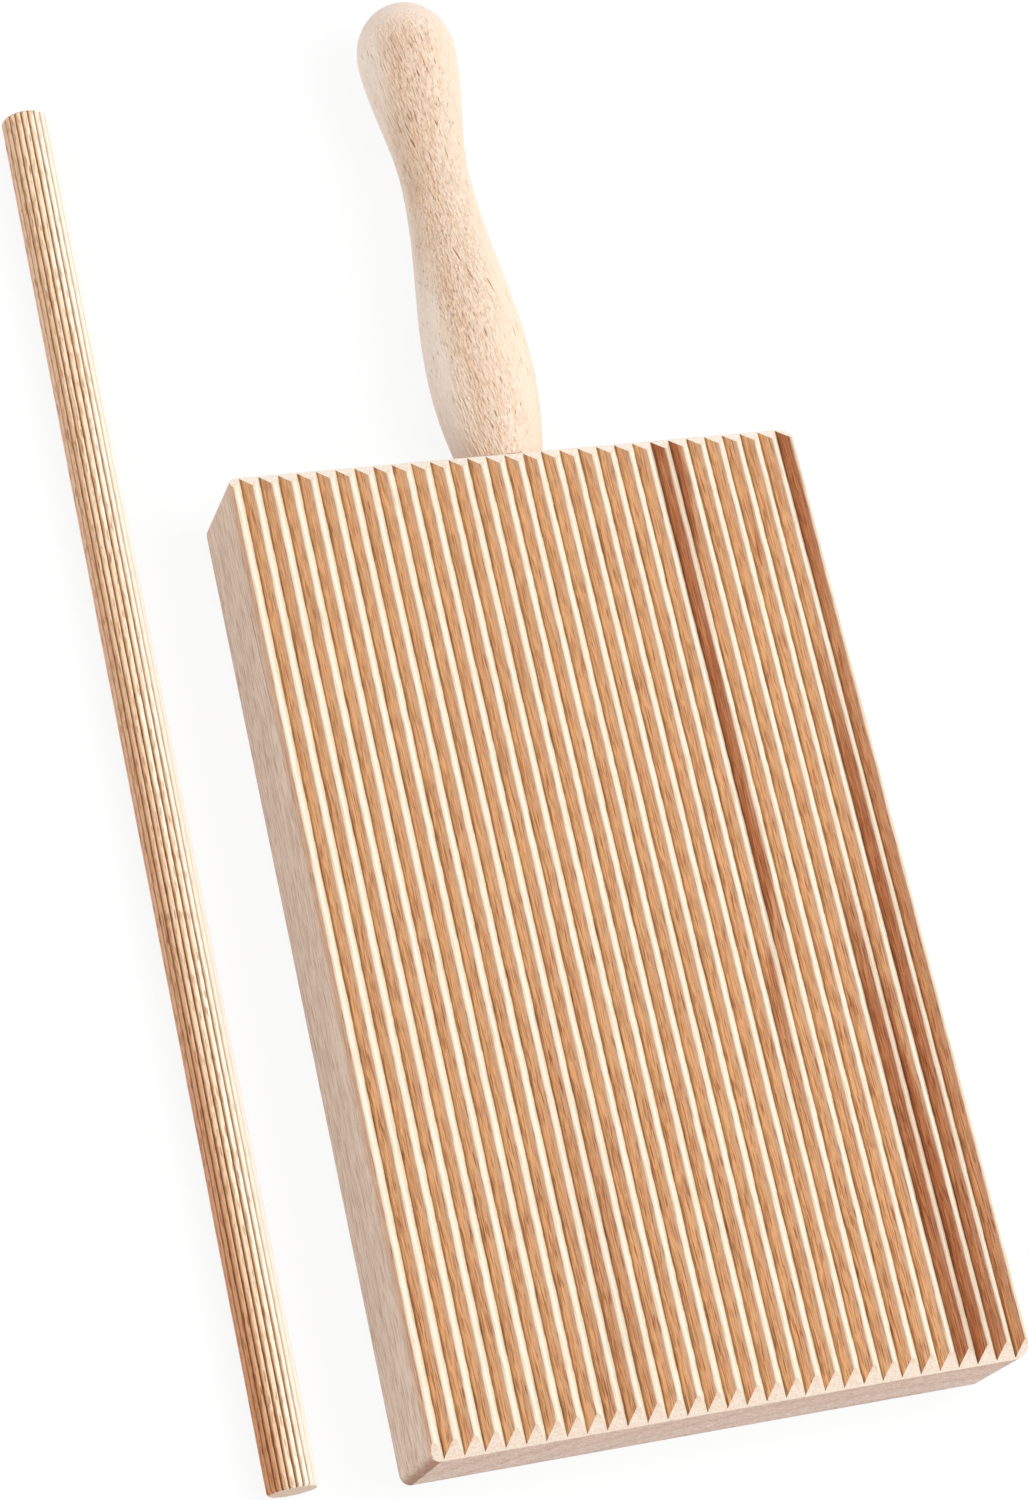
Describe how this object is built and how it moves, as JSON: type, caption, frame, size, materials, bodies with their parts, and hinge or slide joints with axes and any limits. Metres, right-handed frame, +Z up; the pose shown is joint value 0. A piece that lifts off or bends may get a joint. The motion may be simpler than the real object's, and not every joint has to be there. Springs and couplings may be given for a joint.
{
  "type": "garganelli board",
  "caption": "Oblong wooden pasta board with lengthwise ridges across its top, bevelled ridge ends, a turned handle at one end and a loose fluted rolling stick.",
  "frame": {"origin": "centre of the board's flat underside, on the table", "axes": "+Z up out of the ridged face, +Y along the ridges from the free end towards the handle, +X across the ridges to the right, away from the stick"},
  "size_m": [0.1477, 0.3096, 0.027],
  "materials": {
    "board_beech": "planed and sanded beech, unvarnished",
    "handle_beech": "turned and sanded beech, unvarnished",
    "stick_beech": "moulded beech dowel, unvarnished"
  },
  "bodies": {
    "board": {"ridged_board": "board_beech", "handle": "handle_beech"},
    "stick": {"stick": "stick_beech"}
  },
  "joints": [
    {"name": "stick_lift", "type": "slide", "parent": "board", "child": "stick", "axis": [0, 0, 1], "range_m": [0, 0.06]}
  ]
}
